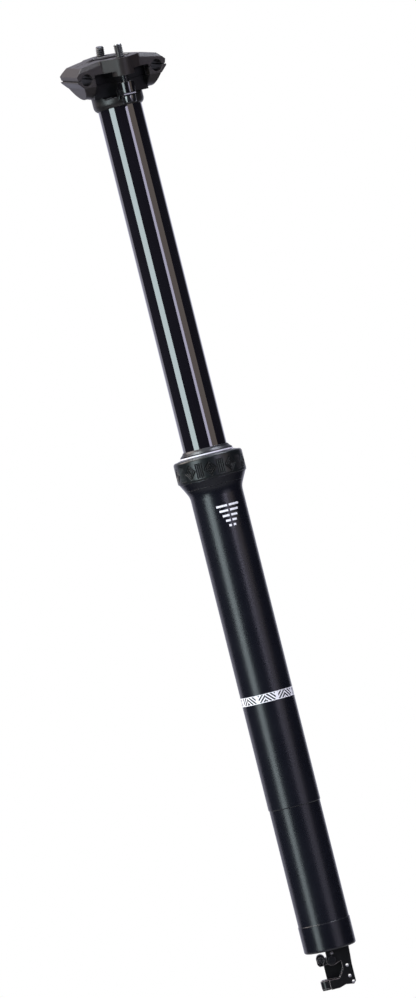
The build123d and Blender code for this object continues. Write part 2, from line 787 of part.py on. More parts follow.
# Upper clamp: the wings, a boss front and rear for the barrel nuts and a hollow between them
flank_distance = hypot(upper_ridge_width, nut_reach - jaw_half_length)
touch_turn = acos(boss_radius / flank_distance) - atan2(nut_reach - jaw_half_length, upper_ridge_width)
touch_x = boss_radius * cos(touch_turn)
touch_y = nut_reach + boss_radius * sin(touch_turn)
pocket_radius = nut_diameter / 2 + running_fit
with BuildPart() as upper_clamp:
    with BuildSketch(clamp_level.offset(upper_arm_bottom)) as boss_plan:
        Rectangle((upper_ridge_width + boss_flank_fillet / 2) * 2, jaw_half_length * 2)
        for side in (-1, 1):
            with Locations((0, side * nut_reach)):
                Circle(boss_radius)
            with BuildLine():
                Polyline(
                    (upper_ridge_width, 0),
                    (upper_ridge_width, side * jaw_half_length),
                    (touch_x, side * touch_y),
                    (-touch_x, side * touch_y),
                    (-upper_ridge_width, side * jaw_half_length),
                    (-upper_ridge_width, 0),
                    close=True,
                )
            make_face()
        corners = [
            corner
            for corner in boss_plan.vertices()
            if abs(abs(corner.X) - upper_ridge_width) < seat_play and abs(corner.Y) > opening_half_length
        ]
        fillet(corners, boss_flank_fillet)
    extrude(amount=upper_top - upper_arm_bottom)
    with BuildSketch(clamp_front):
        with BuildLine():
            Polyline(*wing_outline, close=True)
        make_face()
        mirror(about=Plane.YZ)
    extrude(amount=nut_reach + boss_radius + overrun, both=True, mode=Mode.INTERSECT)
    add(clamp_wings.part)
    with BuildSketch(clamp_level.offset(boss_bottom)):
        with Locations((0, nut_reach), (0, -nut_reach)):
            Circle(boss_radius)
    extrude(amount=upper_arm_bottom - boss_bottom)
    opening_corners = [
        (opening_half_width, 0),
        (opening_corner, opening_half_length),
        (-opening_corner, opening_half_length),
        (-opening_half_width, 0),
        (-opening_corner, -opening_half_length),
        (opening_corner, -opening_half_length),
    ]
    for level, rise, slope in (
        (boss_bottom, upper_top - boss_bottom + overrun, 0),
        (upper_top - opening_chamfer, opening_chamfer * 2, -45),
    ):
        with BuildSketch(clamp_level.offset(level)) as opening:
            with BuildLine():
                Polyline(*opening_corners, close=True)
            make_face()
            fillet(opening.vertices(), opening_fillet)
        extrude(amount=rise, taper=slope, mode=Mode.SUBTRACT)
    with BuildSketch(clamp_side):
        with BuildLine():
            Polyline(
                (0, upper_bevel_height),
                (valley_half_width, upper_top),
                (valley_half_width, upper_top + overrun),
                (-valley_half_width, upper_top + overrun),
                (-valley_half_width, upper_top),
                close=True,
            )
        make_face()
    extrude(amount=upper_half_width + upper_bulge + overrun, both=True, mode=Mode.SUBTRACT)
    with BuildSketch(clamp_side):
        with Locations((nut_reach, nut_height), (-nut_reach, nut_height)):
            Circle(pocket_radius)
            Rectangle(pocket_radius * 2, upper_top, align=(Align.CENTER, Align.MIN))
    extrude(amount=nut_length / 2 + running_fit, both=True, mode=Mode.SUBTRACT)
    for side, lug in ((-1, front_lug), (1, rear_lug)):
        nut_place = clamp_point(clamp_pitch, side * nut_reach, nut_height)
        with BuildSketch(leaning_plane(nut_place, bolt_lean(clamp_pitch, side * nut_reach, lug))):
            Circle(bolt_diameter / 2 + nut_hole_play)
        extrude(amount=-nut_height - nut_diameter, mode=Mode.SUBTRACT)
    with BuildSketch(clamp_front):
        with GridLocations(rail_spacing, 0, 2, 1):
            Circle(groove_radius)
    extrude(amount=jaw_half_length + overrun, both=True, mode=Mode.SUBTRACT)
upper_clamp.part.label = "upper_clamp"

# Bolts, rocking washers and barrel nuts, each on the line from its lug to its nut
bolt_radius = bolt_diameter / 2
bolt_parts = []
for name, side, lug in (("front", -1, front_lug), ("rear", 1, rear_lug)):
    lean = bolt_lean(clamp_pitch, side * nut_reach, lug)
    bolt_plane = leaning_plane(lug, lean)
    with BuildPart() as clamp_bolt:
        with BuildSketch(bolt_plane):
            Circle(bolt_radius)
        extrude(amount=bolt_length)
        chamfer(clamp_bolt.edges().filter_by(GeomType.CIRCLE).sort_by(Axis.Z)[-1], bolt_edge)
        with BuildSketch(bolt_plane.offset(-bolt_head_height)):
            Circle(bolt_head_diameter / 2)
        extrude(amount=bolt_head_height)
        chamfer(clamp_bolt.edges().filter_by(GeomType.CIRCLE).sort_by(Axis.Z)[0], bolt_edge)
        with BuildSketch(bolt_plane.offset(-bolt_head_height)):
            RegularPolygon(bolt_socket / 2, 6, major_radius=False)
        extrude(amount=bolt_socket_depth, mode=Mode.SUBTRACT)
    clamp_bolt.part.label = f"{name}_bolt"
    with BuildPart() as rocking_washer:
        with BuildSketch(Plane.YZ):
            with Locations(lug):
                Circle(washer_radius)
        extrude(amount=washer_length / 2, both=True)
        with BuildSketch(bolt_plane.offset(seat_play)):
            Rectangle(washer_length * 2, washer_length * 2)
        extrude(amount=washer_length, mode=Mode.INTERSECT)
        with BuildSketch(bolt_plane):
            Circle(bolt_radius + running_fit)
        extrude(amount=washer_length, mode=Mode.SUBTRACT)
    rocking_washer.part.label = f"{name}_washer"
    nut_place = clamp_point(clamp_pitch, side * nut_reach, nut_height)
    with BuildPart() as barrel_nut:
        with BuildSketch(Plane.YZ):
            with Locations(nut_place):
                Circle(nut_diameter / 2)
        extrude(amount=nut_length / 2, both=True)
        chamfer(barrel_nut.edges().filter_by(GeomType.CIRCLE), bolt_edge)
        with BuildSketch(leaning_plane(nut_place, lean)):
            Circle(bolt_radius + nut_swing)
        extrude(amount=nut_diameter, both=True, mode=Mode.SUBTRACT)
    barrel_nut.part.label = f"{name}_nut"
    bolt_parts += [clamp_bolt.part, rocking_washer.part, barrel_nut.part]
    lean_change = bolt_lean(pitch_high, side * nut_reach, lug) - bolt_lean(pitch_low, side * nut_reach, lug)
    print(f"{name} bolt turns {lean_change / (tilt_back + tilt_forward):.4f} degrees per degree of tilt")

# Actuator bracket: a flange in the cap, a C-shaped frame slotted for the lever and an eye for the stop
turn = radians(actuator_turn)
actuator_right = (cos(turn), sin(turn), 0)
actuator_face = Plane(origin=(0, 0, cap_bottom), x_dir=actuator_right, z_dir=(sin(turn), -cos(turn), 0))
actuator_level = Plane(origin=(0, 0, cap_bottom), x_dir=actuator_right, z_dir=(0, 0, 1))
pivot_place = (-lever_pivot_reach, -lever_pivot_drop)
lobe_place = (-lobe_reach, -lobe_drop)
nose_place = (nose_reach, -nose_drop)
stem_radius = tappet_stem_diameter / 2
stop_bottom = -arm_top - eye_height - stop_collar_height
with BuildPart() as actuator_bracket:
    with BuildSketch(actuator_face.offset(-bracket_half_depth)):
        with BuildLine():
            Polyline(
                (-bracket_left, 0),
                (bracket_right, 0),
                (bracket_foot_right, -bracket_waist),
                (bracket_foot_right, -bracket_heel),
                (bracket_foot_right - bracket_heel_cut, -bracket_heel - bracket_heel_cut),
                (bracket_notch_place, -bracket_bottom + bracket_notch),
                (0, -bracket_bottom),
                (-bracket_toe, -bracket_bottom),
                (-bracket_toe, -arm_top),
                (arm_inner, -arm_top),
                (jaw_right, -arm_top + jaw_corner),
                (jaw_right, -jaw_height),
                (pivot_place[0], pivot_place[1] - hub_radius),
                (-bracket_left, pivot_place[1]),
                close=True,
            )
        make_face()
        with Locations(pivot_place):
            Circle(hub_radius)
    extrude(amount=bracket_half_depth * 2)
    with BuildSketch(actuator_face.offset(-slot_half_depth)):
        with Locations((slot_end, -slot_roof)):
            Rectangle(bracket_right * 2, slot_floor - slot_roof, align=(Align.MAX, Align.MAX))
    extrude(amount=slot_half_depth * 2, mode=Mode.SUBTRACT)
    with BuildSketch(actuator_face.offset(-bracket_half_depth)):
        with Locations((-back_wall_left, -jaw_height)):
            Rectangle(back_wall_left + jaw_right, arm_top - jaw_height, align=(Align.MIN, Align.MAX))
    extrude(amount=bracket_half_depth - slot_half_depth)
    with BuildSketch(actuator_level.offset(-arm_top - eye_height)):
        with Locations((-eye_reach, 0)):
            Circle(eye_radius)
    extrude(amount=eye_height)
    with BuildSketch(actuator_level.offset(-arm_top - eye_height * 2)):
        with Locations((-eye_reach, 0)):
            Circle(stop_radius + seat_play)
    extrude(amount=eye_height * 2 + seat_play, mode=Mode.SUBTRACT)
    with BuildSketch(actuator_level.offset(stop_bottom - overrun)):
        with Locations((-eye_reach, 0)):
            Circle(stop_collar_radius + seat_play)
    extrude(amount=stop_collar_height + overrun, mode=Mode.SUBTRACT)
    with BuildSketch(actuator_level):
        Circle(flange_radius)
    extrude(amount=cap_recess_depth - seat_play)
    with BuildSketch(actuator_level.offset(-slot_roof)):
        Circle(stem_radius + running_fit)
    extrude(amount=slot_roof + cap_recess_depth, mode=Mode.SUBTRACT)
    with BuildSketch(actuator_face.offset(-bracket_half_depth)):
        with Locations(pivot_place):
            Circle(lever_pin_diameter / 2 + seat_play)
        with Locations((0, -sight_hole_drop)):
            Circle(sight_hole_diameter / 2)
        with Locations(
            ((jaw_right + bracket_foot_right) / 2, -bracket_waist),
            ((jaw_right + bracket_foot_right) / 2, -arm_top),
            (bracket_foot_right - bracket_heel_cut, -bracket_heel),
        ):
            Circle(web_hole_diameter / 2)
    extrude(amount=bracket_half_depth * 2, mode=Mode.SUBTRACT)
actuator_bracket.part.label = "actuator_bracket"

# Lock ring that holds the bracket's flange in the cap
bracket_lock_ring = sleeve(
    flange_radius + seat_play, lock_ring_radius, cap_bottom + lock_ring_inset, recess_top - seat_play
)
bracket_lock_ring.label = "bracket_lock_ring"

# Housing stop: a flanged barrel in the bracket's eye, bored from below for the cable's housing
stop_length = stop_collar_height + eye_height + stop_rise
with BuildPart() as housing_stop:
    for radius, height, mode in (
        (stop_radius, stop_length, Mode.ADD),
        (stop_collar_radius, stop_collar_height - seat_play, Mode.ADD),
        (housing_diameter / 2, housing_depth, Mode.SUBTRACT),
        (cable_diameter / 2, stop_length, Mode.SUBTRACT),
    ):
        with BuildSketch(actuator_level.offset(stop_bottom)):
            with Locations((-eye_reach, 0)):
                Circle(radius)
        extrude(amount=height, mode=mode)
housing_stop.part.label = "housing_stop"

# Lever in the slot: a hub, a nose under the tappet and a lobe that holds the cable barrel
with BuildPart() as cable_lever:
    with BuildSketch(actuator_face.offset(-lever_half_depth)):
        with Locations(pivot_place):
            Circle(lever_hub_radius)
        with Locations(nose_place):
            Circle(nose_radius)
        with Locations(lobe_place):
            SlotOverall(lobe_height, lobe_width, rotation=90)
        with BuildLine():
            Polyline(
                lobe_place,
                (pivot_place[0], pivot_place[1] + lever_hub_radius),
                (nose_place[0], nose_place[1] + nose_radius),
                (nose_place[0] + nose_radius, nose_place[1]),
                (pivot_place[0], pivot_place[1] - lever_hub_radius),
                (lobe_place[0], lobe_place[1] - lobe_width / 2),
                close=True,
            )
        make_face()
    extrude(amount=lever_half_depth * 2)
    with BuildSketch(actuator_face.offset(-lever_half_depth)):
        with Locations(pivot_place):
            Circle(lever_pin_diameter / 2 + running_fit)
        with Locations(lobe_place):
            Circle(barrel_diameter / 2 + running_fit)
    extrude(amount=lever_half_depth * 2, mode=Mode.SUBTRACT)
    with BuildSketch(actuator_level.offset(-lobe_drop)):
        with Locations((-lobe_reach, 0)):
            Circle(cable_diameter / 2)
        with Locations((-lobe_reach, -lever_half_depth)):
            Rectangle(cable_diameter, lever_half_depth * 2)
    extrude(amount=-lobe_height, mode=Mode.SUBTRACT)
cable_lever.part.label = "cable_lever"

# Lever pin with a low head in front, and the clip on its far end
with BuildPart() as lever_pin:
    with BuildSketch(actuator_face.offset(-bracket_half_depth - lever_clip_height * 2)):
        with Locations(pivot_place):
            Circle(lever_pin_diameter / 2)
    extrude(amount=bracket_half_depth * 2 + lever_clip_height * 2 + seat_play)
    with BuildSketch(actuator_face.offset(bracket_half_depth + seat_play)):
        with Locations(pivot_place):
            Circle(pin_head_radius)
    extrude(amount=pin_head_height)
lever_pin.part.label = "lever_pin"
with BuildPart() as lever_clip:
    with BuildSketch(actuator_face.offset(-bracket_half_depth - seat_play)):
        with Locations(pivot_place):
            Circle(pin_head_radius)
            Circle(lever_pin_diameter / 2 + seat_play, mode=Mode.SUBTRACT)
        with Locations((pivot_place[0], pivot_place[1] - pin_head_radius)):
            Rectangle(lever_pin_diameter * 2 / 3, pin_head_radius, mode=Mode.SUBTRACT)
    extrude(amount=-lever_clip_height)
lever_clip.part.label = "lever_clip"

# Cable barrel across the lever's lobe, with a cable hole and a set screw in its end
with BuildPart() as cable_barrel:
    with BuildSketch(actuator_face.offset(-barrel_half_length)):
        with Locations(lobe_place):
            Circle(barrel_diameter / 2)
    extrude(amount=barrel_half_length * 2)
    with BuildSketch(actuator_level.offset(-lobe_drop - barrel_diameter)):
        with Locations((-lobe_reach, 0)):
            Circle(cable_diameter / 2)
    extrude(amount=barrel_diameter * 2, mode=Mode.SUBTRACT)
    with BuildSketch(actuator_face.offset(barrel_half_length)):
        with Locations(lobe_place):
            Circle(set_screw_diameter / 2)
    extrude(amount=-barrel_half_length, mode=Mode.SUBTRACT)
cable_barrel.part.label = "cable_barrel"
with BuildPart() as set_screw:
    with BuildSketch(actuator_face.offset(barrel_half_length)):
        with Locations(lobe_place):
            Circle(set_screw_diameter / 2 - seat_play)
    extrude(amount=-set_screw_length)
    with BuildSketch(actuator_face.offset(barrel_half_length)):
        with Locations(lobe_place):
            RegularPolygon(set_screw_socket / 2, 6, major_radius=False)
    extrude(amount=-set_screw_length / 2, mode=Mode.SUBTRACT)
set_screw.part.label = "set_screw"

# Valve: a tappet over the lever's nose, a pin up the rod's bore and the poppet on the piston's top
tappet_bottom = cap_bottom + nose_place[1] + nose_radius + nose_gap
tappet_top = chamber_top - tappet_lift
pin_bottom = tappet_top - pin_seat_depth
with BuildPart() as valve_tappet:
    with BuildSketch(Plane.XY.offset(tappet_bottom)):
        Circle(stem_radius)
    extrude(amount=tappet_top - tappet_bottom)
    with BuildSketch(Plane.XY.offset(tappet_top - tappet_height)):
        Circle(chamber_radius - running_fit)
    extrude(amount=tappet_height)
    with BuildSketch(Plane.XY.offset(pin_bottom - seat_play)):
        Circle(pin_radius + seat_play)
    extrude(amount=tappet_height, mode=Mode.SUBTRACT)
valve_tappet.part.label = "valve_tappet"
with BuildPart() as valve_pin:
    with BuildSketch(Plane.XY.offset(pin_bottom)):
        Circle(pin_radius)
    extrude(amount=piston_top + poppet_height - pin_bottom)
valve_pin.part.label = "valve_pin"
valve_poppet = sleeve(
    pin_radius + seat_play, poppet_diameter / 2, piston_top + running_fit, piston_top + poppet_height
)
valve_poppet.label = "valve_poppet"

pieces = [
    outer_tube.part,
    seal_collar.part,
    grip_sleeve.part,
    accent_ring,
    wiper_seal.part,
    foam_ring,
    collar_seal,
    upper_bushing,
    end_cap.part,
    cap_seal,
    damper_rod,
    rod_nut.part,
    bottom_bumper,
    damper_piston.part,
    piston_ring,
    stanchion_tube.part,
    head_crown.part,
    lower_bushing.part,
    guide_keys.part,
    cylinder_tube,
    rod_gland.part,
    rod_seal,
    top_plug.part,
    retaining_clip.part,
    floating_piston.part,
    floating_ring,
    lower_cradle.part,
    upper_clamp.part,
    *bolt_parts,
    actuator_bracket.part,
    bracket_lock_ring,
    housing_stop.part,
    cable_lever.part,
    lever_pin.part,
    lever_clip.part,
    cable_barrel.part,
    set_screw.part,
    valve_tappet.part,
    valve_pin.part,
    valve_poppet,
]
os.makedirs("parts", exist_ok=True)
for piece in pieces:
    export_step(piece, f"parts/{piece.label}.step")
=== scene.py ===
import json
from math import cos, pi, radians, sin

import bpy
from mathutils import Matrix, Vector


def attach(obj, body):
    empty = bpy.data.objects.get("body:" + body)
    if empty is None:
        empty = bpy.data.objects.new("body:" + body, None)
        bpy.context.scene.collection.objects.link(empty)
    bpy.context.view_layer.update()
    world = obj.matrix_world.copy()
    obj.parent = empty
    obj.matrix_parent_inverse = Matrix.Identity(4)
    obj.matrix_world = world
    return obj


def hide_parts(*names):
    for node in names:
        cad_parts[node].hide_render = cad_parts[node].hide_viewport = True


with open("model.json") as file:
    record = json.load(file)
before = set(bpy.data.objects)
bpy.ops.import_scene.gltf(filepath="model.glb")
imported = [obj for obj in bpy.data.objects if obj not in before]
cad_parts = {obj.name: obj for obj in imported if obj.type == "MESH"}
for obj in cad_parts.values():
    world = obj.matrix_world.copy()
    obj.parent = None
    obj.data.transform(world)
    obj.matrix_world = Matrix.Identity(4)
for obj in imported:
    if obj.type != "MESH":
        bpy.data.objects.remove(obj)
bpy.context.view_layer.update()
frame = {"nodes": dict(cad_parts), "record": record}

nodes = frame["nodes"]
joints = {joint["name"]: joint for joint in frame["record"]["behaviour"]["joints"]}
perMetre = 1000.0  # the sizes of the sleeve, the ink and the slabs are in millimetres
print("frame loaded:", len(nodes), "nodes")


# A node output that can be used in sums, so a mask reads as one line
class Flow:
    def __init__(self, tree, socket=None):
        self.tree = tree
        self.socket = socket

    def node(self, kind, settings=None, values=None, out=0):
        made = self.tree.nodes.new(kind)
        for name, value in (settings or {}).items():
            setattr(made, name, value)
        for name, value in (values or {}).items():
            if isinstance(value, Flow):
                self.tree.links.new(value.socket, made.inputs[name])
            else:
                made.inputs[name].default_value = value
        return Flow(self.tree, made.outputs[out]) if made.outputs else made

    def math(self, operation, first, second=0.0):
        return self.node("ShaderNodeMath", {"operation": operation}, {0: first, 1: second})

    def __add__(self, other):
        return self.math("ADD", self, other)

    def __radd__(self, other):
        return self.math("ADD", other, self)

    def __sub__(self, other):
        return self.math("SUBTRACT", self, other)

    def __rsub__(self, other):
        return self.math("SUBTRACT", other, self)

    def __mul__(self, other):
        return self.math("MULTIPLY", self, other)

    def __rmul__(self, other):
        return self.math("MULTIPLY", other, self)

    def __truediv__(self, other):
        return self.math("DIVIDE", self, other)

    def __gt__(self, other):
        return self.math("GREATER_THAN", self, other)

    def __lt__(self, other):
        return self.math("LESS_THAN", self, other)

    def part(self):  # what is left after the whole steps, for patterns that repeat
        return self.math("FRACT", self)

    def size(self):
        return self.math("ABSOLUTE", self)

    def held(self):  # kept between 0 and 1
        return self.node("ShaderNodeClamp", values={"Value": self})


def opaque(colour):
    return (*colour, 1.0)


def blendColours(mask, first, second):
    return mask.node("ShaderNodeMix", {"data_type": "RGBA"}, {0: mask, 6: first, 7: second}, out=2)


def dotOf(first, second):
    return first.node("ShaderNodeVectorMath", {"operation": "DOT_PRODUCT"}, {0: first, 1: second},
                      out="Value")


def noiseAt(place, scale, detail, stretch=None):
    if stretch:
        place = place.node("ShaderNodeMapping", values={"Vector": place, "Scale": stretch})
    return place.node("ShaderNodeTexNoise",
                      values={"Vector": place, "Scale": scale, "Detail": detail})


def axesOf(place):
    return [place.node("ShaderNodeSeparateXYZ", values={0: place}, out=axis) for axis in "XYZ"]


# One recipe for every finish: cloudy colour, fine grain, turned lines, and pale edges, which are
# wear on most finishes and a painted highlight on the actuator and the fasteners
plainLook = {
    "stretch": None, "lines": 0.0, "edge": 0.0, "bareAndHighlight": (0.35, 0.35, 0.36), "inkAndShadeRough": 0.15,
    "metal": 0.0, "shine": 0.5, "coat": 0.0, "coatRough": 0.05,
}
recipe = {
    "cloudDetail": 4.0, "grainDetail": 2.0, "cloudShare": 0.6, "grainShare": 0.4,
    "lineShare": 0.5, "leastWearAndHighlight": 0.2, "edgeSamples": 4,
}


def makeFinish(ownLook, inkAndShadeMask=None):
    look = {**plainLook, **ownLook}
    material = bpy.data.materials.new(look["name"])
    material.use_nodes = True
    tree = material.node_tree
    tree.nodes.clear()
    place = Flow(tree).node("ShaderNodeTexCoord", out="Object")
    cloud = noiseAt(place, look["cloud"], recipe["cloudDetail"])
    grain = noiseAt(place, look["grain"], recipe["grainDetail"], look["stretch"])
    colour = blendColours(cloud, opaque(look["dark"]), opaque(look["light"]))
    mottle = cloud * recipe["cloudShare"] + grain * recipe["grainShare"]
    roughness = look["smooth"] + (look["rough"] - look["smooth"]) * mottle
    height = grain
    if look["lines"]:  # marks of the lathe or of polishing, round the Z axis
        turned = place.math("SINE", axesOf(place)[2] * look["lines"])
        height = height + turned * recipe["lineShare"]
    bevel = None
    if look["edge"]:
        bevel = place.node("ShaderNodeBevel", {"samples": recipe["edgeSamples"]},
                           {"Radius": look["edge"]})
        bend = dotOf(bevel, place.node("ShaderNodeNewGeometry", out="Normal"))
        # pale edges from the bevel: wear on most finishes, a painted highlight on the actuator and
        # the fasteners
        wornAndHighlit = ((1.0 - bend) * look["wearAndHighlight"] * (cloud + recipe["leastWearAndHighlight"])).held()
        colour = blendColours(wornAndHighlit, colour, opaque(look["bareAndHighlight"]))
    # colour under the mask: print on the tube, a satin tone on the crown's rim, painted shade on
    # the cradle and in the sleeve's pattern
    if inkAndShadeMask:
        mask = inkAndShadeMask(place)
        colour = blendColours(mask, colour, opaque(look["inkAndShade"]))
        roughness = roughness + mask * look["inkAndShadeRough"]
    bumped = {"Strength": look["bump"], "Distance": look["depth"], "Height": height}
    if bevel:
        bumped["Normal"] = bevel
    shader = place.node("ShaderNodeBsdfPrincipled", values={
        "Base Color": colour,
        "Roughness": roughness,
        "Metallic": look["metal"],
        "Specular IOR Level": look["shine"],
        "Coat Weight": look["coat"],
        "Coat Roughness": look["coatRough"],
        "Normal": place.node("ShaderNodeBump", values=bumped),
    })
    place.node("ShaderNodeOutputMaterial", values={"Surface": shader})
    return material


def dress(material, *names):
    for name in names:
        for slot in nodes[name].material_slots:
            slot.material = material


# outer tube: satin black, a hatched ring of white ink and a small scale of bars under the flare
tubeLook = {
    "name": "satinTube", "dark": (0.0036, 0.0042, 0.0078), "light": (0.006, 0.0068, 0.0118),
    "cloud": 60.0, "grain": 1050.0, "smooth": 0.22, "rough": 0.34, "bump": 0.8, "depth": 0.00004,
    "shine": 0.42, "edge": 0.00035, "wearAndHighlight": 2.4, "bareAndHighlight": (0.003, 0.003, 0.004),
    "inkAndShade": (0.93, 0.93, 0.96),
}
tubeInk = {
    "radius": 15.8, "inkFrom": 15.0, "bandTop": -120.1, "bandBottom": -125.2, "border": 0.36,
    "hatchPitch": 2.35, "hatchShare": 0.5, "blockPitch": 12.41, "blockShare": 0.14,
    "turnShare": 0.5, "barTop": -6.4, "barPitch": 3.0, "barCount": 5, "barShare": 0.42,
    "barWide": 7.2, "barStep": 1.25, "barGap": 0.55,
}


def tubeMarks(place):
    x, y, z = axesOf(place)
    height = z * perMetre
    around = x.math("ARCTAN2", x, y * -1.0) * tubeInk["radius"]
    middle = (tubeInk["bandTop"] + tubeInk["bandBottom"]) / 2
    half = (tubeInk["bandTop"] - tubeInk["bandBottom"]) / 2
    inBand = (height - middle).size() < half
    border = (height - middle).size() > half - tubeInk["border"]
    swing = (around / tubeInk["blockPitch"]).part() > tubeInk["turnShare"]
    lean = (height - middle) * (swing * 2.0 - 1.0)
    hatch = ((around + lean) / tubeInk["hatchPitch"]).part() < tubeInk["hatchShare"]
    block = (around / tubeInk["blockPitch"]).part() < tubeInk["blockShare"]
    band = inBand * (border + hatch + block).held()
    steps = (tubeInk["barTop"] - height) / tubeInk["barPitch"]
    inBars = (steps > 0.0) * (steps < tubeInk["barCount"] - 1.0 + tubeInk["barShare"])
    bar = steps.part() < tubeInk["barShare"]
    reach = tubeInk["barWide"] - steps.math("FLOOR", steps) * tubeInk["barStep"]
    halves = (around.size() < reach) * (around.size() > tubeInk["barGap"])
    outside = (x * x + y * y) > (tubeInk["inkFrom"] / perMetre) ** 2  # no ink on the inside
    facing = y < 0.0
    return ((band + inBars * bar * halves * facing) * outside).held()


dress(makeFinish(tubeLook, tubeMarks), "outer_tube")
print("outer tube painted")

# stanchion and crown: polished black
stanchionLook = {
    "name": "polishedStanchion",
    "dark": (0.0046, 0.0042, 0.0066), "light": (0.0072, 0.0064, 0.0096),
    "cloud": 45.0, "grain": 900.0, "stretch": (1.0, 1.0, 0.03), "smooth": 0.045, "rough": 0.075,
    "bump": 0.05, "depth": 0.00001, "shine": 0.5, "coat": 0.7, "coatRough": 0.03,
}
crownLook = {
    "name": "polishedCrown", "dark": (0.0026, 0.0025, 0.0032), "light": (0.0046, 0.0043, 0.0052),
    "cloud": 90.0, "grain": 2600.0, "smooth": 0.1, "rough": 0.16, "bump": 0.12, "depth": 0.00002,
    "shine": 0.6, "edge": 0.0006, "wearAndHighlight": 0.4,
    "inkAndShade": (0.011, 0.0098, 0.0095), "inkAndShadeRough": 0.26, "rimRadius": 0.0155885,
}
dress(makeFinish(stanchionLook), "stanchion_tube")


def satinRim(place):  # the round rim is satin, the lugs and what stands out past it are polished
    x, y = axesOf(place)[:2]
    return (x * x + y * y) < crownLook["rimRadius"] ** 2


dress(makeFinish(crownLook, satinRim), "head_crown")

# clamp: matte forging with a warm grey skin; the cradle's middle, between the rail trays, is
# painted dark as shade
clampLook = {
    "name": "forgedClamp", "dark": (0.0155, 0.0132, 0.0136), "light": (0.028, 0.0226, 0.0212),
    "cloud": 150.0, "grain": 4200.0, "smooth": 0.36, "rough": 0.48, "bump": 0.4,
    "depth": 0.00003, "shine": 0.3, "edge": 0.0007, "wearAndHighlight": 1.2, "bareAndHighlight": (0.16, 0.15, 0.15),
}
cradleLook = {
    **clampLook, "name": "forgedCradle",
    # near-black colour painted as shade on the cradle's middle
    "inkAndShade": (0.0018, 0.0018, 0.0028), "inkAndShadeRough": 0.2, "darkHalf": 0.0169,
}


# painted shade: the middle of the cradle takes the near-black colour
def shadedMiddle(place):
    return axesOf(place)[0].size() < cradleLook["darkHalf"]


dress(makeFinish(clampLook), "upper_clamp")
dress(makeFinish(cradleLook, shadedMiddle), "lower_cradle")

# collar, cap and lock ring: turned and anodised black
collarLook = {
    "name": "turnedBlack", "dark": (0.0032, 0.0037, 0.007), "light": (0.0056, 0.0062, 0.011),
    "cloud": 80.0, "grain": 2600.0, "lines": 26000.0, "smooth": 0.2, "rough": 0.28,
    "bump": 0.3, "depth": 0.00003, "shine": 0.42, "edge": 0.0008, "wearAndHighlight": 0.6,
}
dress(makeFinish(collarLook), "seal_collar", "end_cap", "bracket_lock_ring")

# bright ring
ringLook = {
    "name": "brightRing", "dark": (0.88, 0.86, 0.94), "light": (0.95, 0.93, 0.99),
    "cloud": 200.0, "grain": 2500.0, "lines": 30000.0, "smooth": 0.42, "rough": 0.56,
    "bump": 0.1, "depth": 0.00001, "metal": 0.1, "edge": 0.00015, "wearAndHighlight": 0.5,
    "bareAndHighlight": (0.9, 0.9, 0.9),
}
dress(makeFinish(ringLook), "accent_ring")

# rubber: wiper, seals and bumper
sealLook = {
    "name": "sealRubber", "dark": (0.005, 0.005, 0.008), "light": (0.009, 0.009, 0.012),
    "cloud": 160.0, "grain": 5200.0, "smooth": 0.34, "rough": 0.44, "bump": 0.2,
    "depth": 0.00002, "shine": 0.42, "edge": 0.0002, "wearAndHighlight": 0.4, "bareAndHighlight": (0.05, 0.05, 0.055),
}
dress(makeFinish(sealLook), "wiper_seal", "collar_seal", "cap_seal", "bottom_bumper", "rod_seal")

# actuator: fine blasted black, with a pale line painted on its edges as a highlight
actuatorLook = {
    "name": "blastedActuator", "dark": (0.0026, 0.0026, 0.0034), "light": (0.0052, 0.005, 0.006),
    "cloud": 220.0, "grain": 5200.0, "smooth": 0.24, "rough": 0.36, "bump": 0.3,
    "depth": 0.000025, "shine": 0.45, "edge": 0.0005, "wearAndHighlight": 3.2, "bareAndHighlight": (0.66, 0.57, 0.58),
}
dress(makeFinish(actuatorLook), "actuator_bracket", "cable_lever", "housing_stop")

# small fasteners and steel; the oxide's pale edges are painted highlights on the thread crests and
# rims
fastenerLook = {
    "name": "oxideFastener", "dark": (0.006, 0.006, 0.0075), "light": (0.014, 0.014, 0.016),
    "cloud": 300.0, "grain": 5200.0, "smooth": 0.12, "rough": 0.2, "bump": 0.2,
    "depth": 0.00002, "shine": 0.95, "edge": 0.00022, "wearAndHighlight": 1.2, "bareAndHighlight": (0.2, 0.2, 0.21),
}
steelLook = {
    "name": "turnedSteel", "dark": (0.3, 0.3, 0.31), "light": (0.46, 0.46, 0.47),
    "cloud": 260.0, "grain": 2600.0, "lines": 34000.0, "smooth": 0.24, "rough": 0.38,
    "bump": 0.15, "depth": 0.00002, "metal": 1.0, "edge": 0.0002, "wearAndHighlight": 0.6,
    "bareAndHighlight": (0.6, 0.6, 0.6),
}
oxide = makeFinish(fastenerLook)
dress(oxide, "front_washer", "rear_washer", "front_nut", "rear_nut", "rod_nut", "set_screw",
      "lever_pin", "cable_barrel")
dress(makeFinish(steelLook), "lever_clip", "retaining_clip", "valve_tappet", "valve_poppet")

